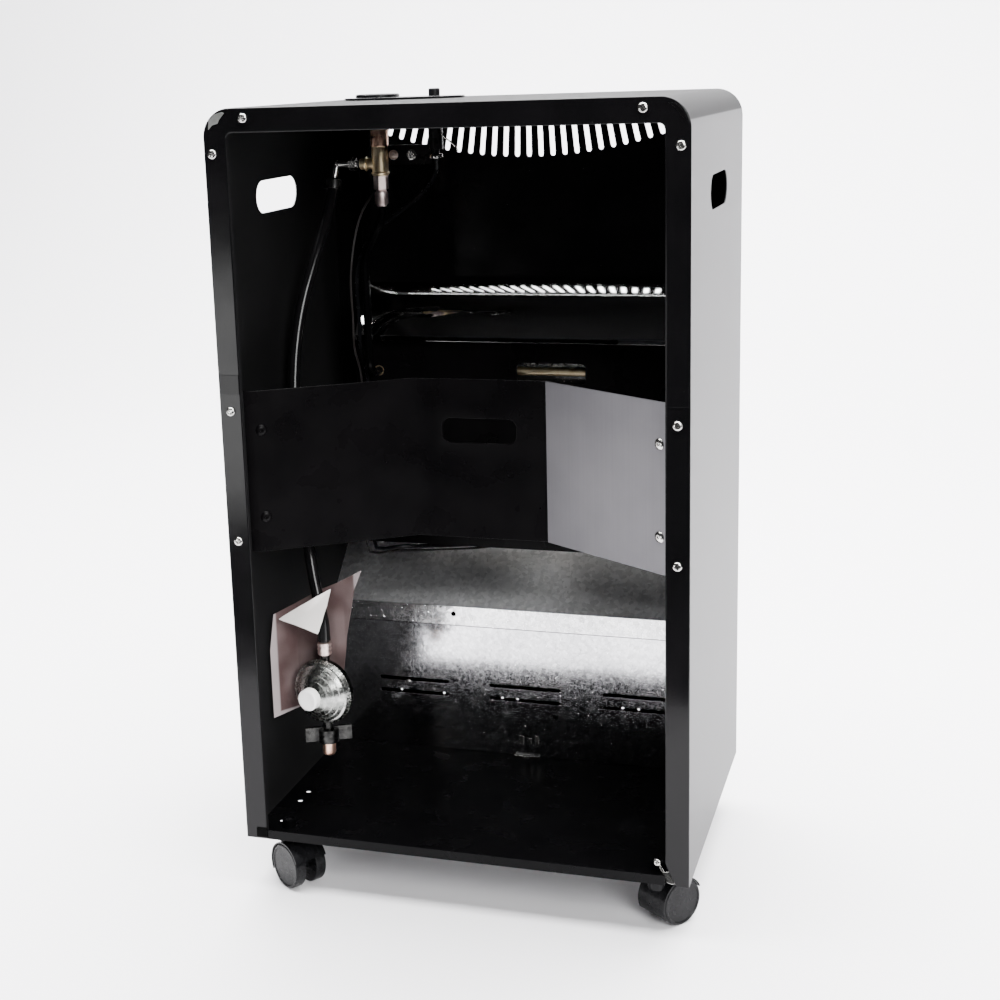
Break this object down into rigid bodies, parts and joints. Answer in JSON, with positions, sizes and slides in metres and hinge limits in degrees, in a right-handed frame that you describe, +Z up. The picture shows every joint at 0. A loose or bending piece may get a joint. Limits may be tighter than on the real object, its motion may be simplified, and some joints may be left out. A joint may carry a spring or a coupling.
{
  "type": "portable gas cabinet heater",
  "caption": "Portable black steel gas cabinet heater on castors, rear cover off, with its hose, regulator, valve and radiant burner showing.",
  "frame": {"origin": "on the floor, under the middle of the cabinet", "axes": "+Z up, the radiant front faces -Y, the open rear faces +Y, and the controls are on the +X side"},
  "size_m": [0.4252, 0.3162, 0.7375],
  "materials": {
    "black_paint": "smooth gloss black enamel",
    "galvanised": "bright smooth galvanised sheet",
    "pale_sheet": "matt light grey bare sheet",
    "bright_steel": "bright plated steel",
    "chromed": "polished chrome with a knurled rim",
    "brass": "machined brass",
    "copper": "reddish brass",
    "cast_alloy": "die-cast grey alloy",
    "ceramic": "matt porous ceramic",
    "black_plastic": "satin moulded black plastic",
    "white_plastic": "smooth white plastic",
    "black_rubber": "smooth black rubber hose",
    "paper": "creased blank coated paper"
  },
  "bodies": {
    "cabinet": {"casing_wrap": "black_paint", "base_plate": "black_paint", "front_fascia": "black_paint", "kick_panel": "black_paint", "partition_plate": "galvanised", "deflector_plate": "galvanised", "cross_panel": "black_paint", "cross_panel_side_plate": "pale_sheet", "burner_back_plate": "black_paint", "burner_hood": "black_paint", "burner_body": "bright_steel", "reflector": "bright_steel", "wire_guard": "bright_steel", "pilot_burner": "bright_steel", "gas_manifold": "brass", "ceramic_plaque_1": "ceramic", "ceramic_plaque_2": "ceramic", "ceramic_plaque_3": "ceramic", "valve_body": "brass", "valve_bracket": "black_paint", "supply_union_nut": "bright_steel", "supply_olive_nut": "copper", "supply_pipe": "black_paint", "thermocouple_lead": "copper", "ignition_lead": "black_rubber", "control_bezel": "black_plastic", "igniter_body": "black_plastic", "hose_nipple": "bright_steel", "hose_clamp": "bright_steel", "gas_hose": "black_rubber", "regulator_body": "cast_alloy", "regulator_dome": "chromed", "regulator_cap": "white_plastic", "inlet_spigot": "copper", "hose_ferrule": "copper", "info_tag": "paper"},
    "knob_plunger": {"valve_plunger": "brass"},
    "knob": {"control_knob": "black_plastic", "valve_spindle": "brass"},
    "ignition_button": {"igniter_button": "black_plastic"},
    "coupling_nut": {"wing_nut": "cast_alloy"},
    "castor_rear_left_swivel": {"castor_rear_left_hood": "black_plastic", "castor_rear_left_axle": "bright_steel"},
    "castor_rear_left_wheel_near": {"castor_rear_left_wheel_near": "black_plastic"},
    "castor_rear_left_wheel_far": {"castor_rear_left_wheel_far": "black_plastic"},
    "castor_rear_right_swivel": {"castor_rear_right_hood": "black_plastic", "castor_rear_right_axle": "bright_steel"},
    "castor_rear_right_wheel_near": {"castor_rear_right_wheel_near": "black_plastic"},
    "castor_rear_right_wheel_far": {"castor_rear_right_wheel_far": "black_plastic"},
    "castor_front_left_swivel": {"castor_front_left_hood": "black_plastic", "castor_front_left_axle": "bright_steel"},
    "castor_front_left_wheel_near": {"castor_front_left_wheel_near": "black_plastic"},
    "castor_front_left_wheel_far": {"castor_front_left_wheel_far": "black_plastic"},
    "castor_front_right_swivel": {"castor_front_right_hood": "black_plastic", "castor_front_right_axle": "bright_steel"},
    "castor_front_right_wheel_near": {"castor_front_right_wheel_near": "black_plastic"},
    "castor_front_right_wheel_far": {"castor_front_right_wheel_far": "black_plastic"}
  },
  "joints": [
    {"name": "knob_push", "type": "slide", "parent": "cabinet", "child": "knob_plunger", "axis": [0, 0, -1], "range_m": [0, 0.002], "stiffness_N_per_m": 1500, "springref_m": -0.003},
    {"name": "knob_turn", "type": "hinge", "parent": "knob_plunger", "child": "knob", "pos_m": [0.125, -0.06, 0.73], "axis": [0, 0, 1], "range_deg": [0, 270]},
    {"name": "igniter_push", "type": "slide", "parent": "cabinet", "child": "ignition_button", "axis": [0, 0, -1], "range_m": [0, 0.005], "stiffness_N_per_m": 1200, "springref_m": -0.004},
    {"name": "wing_nut_turn", "type": "hinge", "parent": "cabinet", "child": "coupling_nut", "pos_m": [0.1516, 0.0786, 0.1325], "axis": [0, 0, 1], "continuous": true},
    {"name": "castor_rear_left_swivel_turn", "type": "hinge", "parent": "cabinet", "child": "castor_rear_left_swivel", "pos_m": [0.178, 0.124, 0.05], "axis": [0, 0, 1], "continuous": true},
    {"name": "castor_rear_left_wheel_near_roll", "type": "hinge", "parent": "castor_rear_left_swivel", "child": "castor_rear_left_wheel_near", "pos_m": [0.16653, 0.13203, 0.0215], "axis": [0.5736, 0.8192, 0], "continuous": true},
    {"name": "castor_rear_left_wheel_far_roll", "type": "hinge", "parent": "castor_rear_left_swivel", "child": "castor_rear_left_wheel_far", "pos_m": [0.16653, 0.13203, 0.0215], "axis": [0.5736, 0.8192, 0], "continuous": true},
    {"name": "castor_rear_right_swivel_turn", "type": "hinge", "parent": "cabinet", "child": "castor_rear_right_swivel", "pos_m": [-0.178, 0.124, 0.05], "axis": [0, 0, 1], "continuous": true},
    {"name": "castor_rear_right_wheel_near_roll", "type": "hinge", "parent": "castor_rear_right_swivel", "child": "castor_rear_right_wheel_near", "pos_m": [-0.18635, 0.11276, 0.0215], "axis": [-0.8028, 0.5962, 0], "continuous": true},
    {"name": "castor_rear_right_wheel_far_roll", "type": "hinge", "parent": "castor_rear_right_swivel", "child": "castor_rear_right_wheel_far", "pos_m": [-0.18635, 0.11276, 0.0215], "axis": [-0.8028, 0.5962, 0], "continuous": true},
    {"name": "castor_front_left_swivel_turn", "type": "hinge", "parent": "cabinet", "child": "castor_front_left_swivel", "pos_m": [0.178, -0.124, 0.05], "axis": [0, 0, 1], "continuous": true},
    {"name": "castor_front_left_wheel_near_roll", "type": "hinge", "parent": "castor_front_left_swivel", "child": "castor_front_left_wheel_near", "pos_m": [0.18635, -0.11276, 0.0215], "axis": [0.8028, -0.5962, 0], "continuous": true},
    {"name": "castor_front_left_wheel_far_roll", "type": "hinge", "parent": "castor_front_left_swivel", "child": "castor_front_left_wheel_far", "pos_m": [0.18635, -0.11276, 0.0215], "axis": [0.8028, -0.5962, 0], "continuous": true},
    {"name": "castor_front_right_swivel_turn", "type": "hinge", "parent": "cabinet", "child": "castor_front_right_swivel", "pos_m": [-0.178, -0.124, 0.05], "axis": [0, 0, 1], "continuous": true},
    {"name": "castor_front_right_wheel_near_roll", "type": "hinge", "parent": "castor_front_right_swivel", "child": "castor_front_right_wheel_near", "pos_m": [-0.16653, -0.13203, 0.0215], "axis": [-0.5736, -0.8192, 0], "continuous": true},
    {"name": "castor_front_right_wheel_far_roll", "type": "hinge", "parent": "castor_front_right_swivel", "child": "castor_front_right_wheel_far", "pos_m": [-0.16653, -0.13203, 0.0215], "axis": [-0.5736, -0.8192, 0], "continuous": true}
  ]
}
